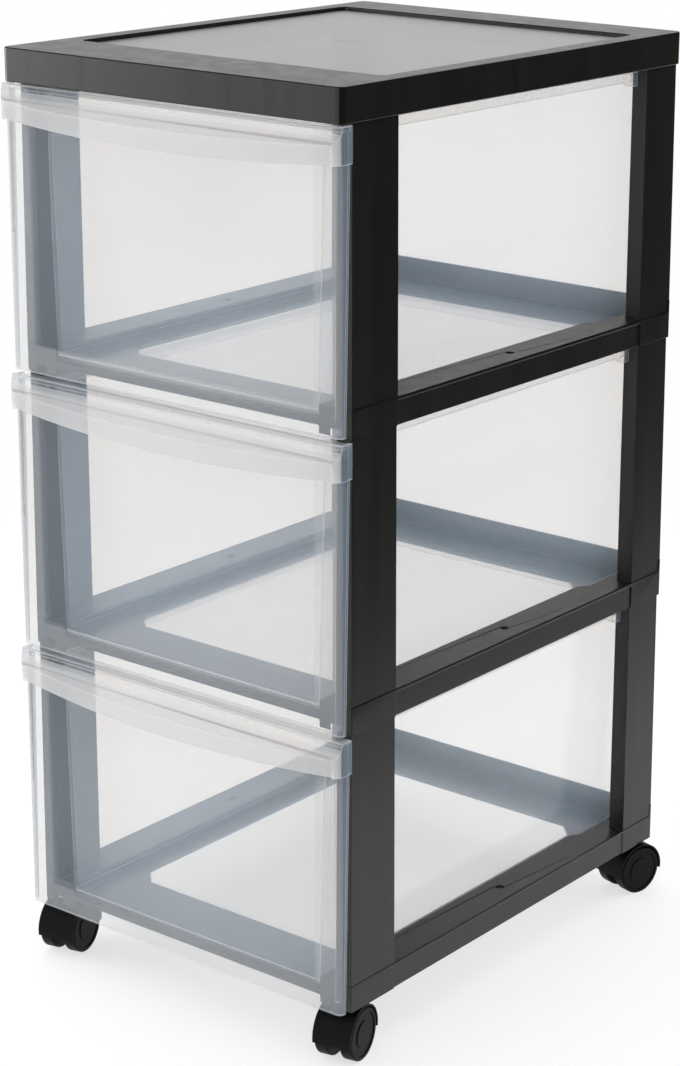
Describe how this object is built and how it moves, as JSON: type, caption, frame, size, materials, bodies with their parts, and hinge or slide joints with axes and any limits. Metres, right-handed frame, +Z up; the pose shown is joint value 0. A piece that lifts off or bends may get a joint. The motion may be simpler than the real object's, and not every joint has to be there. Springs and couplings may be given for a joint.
{
  "type": "plastic drawer tower",
  "caption": "Stacking tower of clear pull-out drawers in a dark open plastic frame, with a recessed tray top, on hooded swivel casters.",
  "frame": {"origin": "on the floor, under the middle of the tower's overall box", "axes": "+X to the right, -Y towards the drawer fronts, +Z up"},
  "size_m": [0.315, 0.4226, 0.69],
  "materials": {
    "frame_plastic": "black moulded polypropylene, satin",
    "drawer_plastic": "clear moulded plastic, slightly milky",
    "panel_plastic": "frosted clear moulded plastic",
    "caster_plastic": "black moulded nylon",
    "wheel_plastic": "black moulded nylon",
    "steel": "zinc-plated steel"
  },
  "bodies": {
    "frame": {"top_frame": "frame_plastic", "top_panel": "panel_plastic", "upper_frame": "frame_plastic", "middle_frame": "frame_plastic", "lower_frame": "frame_plastic", "front_left_stem": "steel", "front_right_stem": "steel", "back_left_stem": "steel", "back_right_stem": "steel"},
    "upper_drawer": {"upper_drawer": "drawer_plastic"},
    "middle_drawer": {"middle_drawer": "drawer_plastic"},
    "lower_drawer": {"lower_drawer": "drawer_plastic"},
    "front_left_caster": {"front_left_hood": "caster_plastic", "front_left_axle": "steel"},
    "front_left_outer_wheel": {"front_left_outer_wheel": "wheel_plastic"},
    "front_left_inner_wheel": {"front_left_inner_wheel": "wheel_plastic"},
    "front_right_caster": {"front_right_hood": "caster_plastic", "front_right_axle": "steel"},
    "front_right_outer_wheel": {"front_right_outer_wheel": "wheel_plastic"},
    "front_right_inner_wheel": {"front_right_inner_wheel": "wheel_plastic"},
    "back_left_caster": {"back_left_hood": "caster_plastic", "back_left_axle": "steel"},
    "back_left_outer_wheel": {"back_left_outer_wheel": "wheel_plastic"},
    "back_left_inner_wheel": {"back_left_inner_wheel": "wheel_plastic"},
    "back_right_caster": {"back_right_hood": "caster_plastic", "back_right_axle": "steel"},
    "back_right_outer_wheel": {"back_right_outer_wheel": "wheel_plastic"},
    "back_right_inner_wheel": {"back_right_inner_wheel": "wheel_plastic"}
  },
  "joints": [
    {"name": "upper_drawer_slide", "type": "slide", "parent": "frame", "child": "upper_drawer", "axis": [0, -1, 0], "range_m": [0, 0.2868]},
    {"name": "middle_drawer_slide", "type": "slide", "parent": "frame", "child": "middle_drawer", "axis": [0, -1, 0], "range_m": [0, 0.2868]},
    {"name": "lower_drawer_slide", "type": "slide", "parent": "frame", "child": "lower_drawer", "axis": [0, -1, 0], "range_m": [0, 0.2868]},
    {"name": "front_left_swivel", "type": "hinge", "parent": "frame", "child": "front_left_caster", "pos_m": [-0.13625, -0.1783, 0.042], "axis": [0, 0, 1], "continuous": true},
    {"name": "front_left_outer_wheel_spin", "type": "hinge", "parent": "front_left_caster", "child": "front_left_outer_wheel", "pos_m": [-0.1377, -0.17248, 0.0195], "axis": [0.9703, 0.2419, 0], "continuous": true},
    {"name": "front_left_inner_wheel_spin", "type": "hinge", "parent": "front_left_caster", "child": "front_left_inner_wheel", "pos_m": [-0.1377, -0.17248, 0.0195], "axis": [0.9703, 0.2419, 0], "continuous": true},
    {"name": "front_right_swivel", "type": "hinge", "parent": "frame", "child": "front_right_caster", "pos_m": [0.13625, -0.1783, 0.042], "axis": [0, 0, 1], "continuous": true},
    {"name": "front_right_outer_wheel_spin", "type": "hinge", "parent": "front_right_caster", "child": "front_right_outer_wheel", "pos_m": [0.135, -0.17243, 0.0195], "axis": [0.9781, 0.2079, 0], "continuous": true},
    {"name": "front_right_inner_wheel_spin", "type": "hinge", "parent": "front_right_caster", "child": "front_right_inner_wheel", "pos_m": [0.135, -0.17243, 0.0195], "axis": [0.9781, 0.2079, 0], "continuous": true},
    {"name": "back_left_swivel", "type": "hinge", "parent": "frame", "child": "back_left_caster", "pos_m": [-0.13625, 0.1807, 0.042], "axis": [0, 0, 1], "continuous": true},
    {"name": "back_left_outer_wheel_spin", "type": "hinge", "parent": "back_left_caster", "child": "back_left_outer_wheel", "pos_m": [-0.13688, 0.18667, 0.0195], "axis": [0.9945, 0.1045, 0], "continuous": true},
    {"name": "back_left_inner_wheel_spin", "type": "hinge", "parent": "back_left_caster", "child": "back_left_inner_wheel", "pos_m": [-0.13688, 0.18667, 0.0195], "axis": [0.9945, 0.1045, 0], "continuous": true},
    {"name": "back_right_swivel", "type": "hinge", "parent": "frame", "child": "back_right_caster", "pos_m": [0.13625, 0.1807, 0.042], "axis": [0, 0, 1], "continuous": true},
    {"name": "back_right_outer_wheel_spin", "type": "hinge", "parent": "back_right_caster", "child": "back_right_outer_wheel", "pos_m": [0.1377, 0.18652, 0.0195], "axis": [0.9703, -0.2419, 0], "continuous": true},
    {"name": "back_right_inner_wheel_spin", "type": "hinge", "parent": "back_right_caster", "child": "back_right_inner_wheel", "pos_m": [0.1377, 0.18652, 0.0195], "axis": [0.9703, -0.2419, 0], "continuous": true}
  ]
}
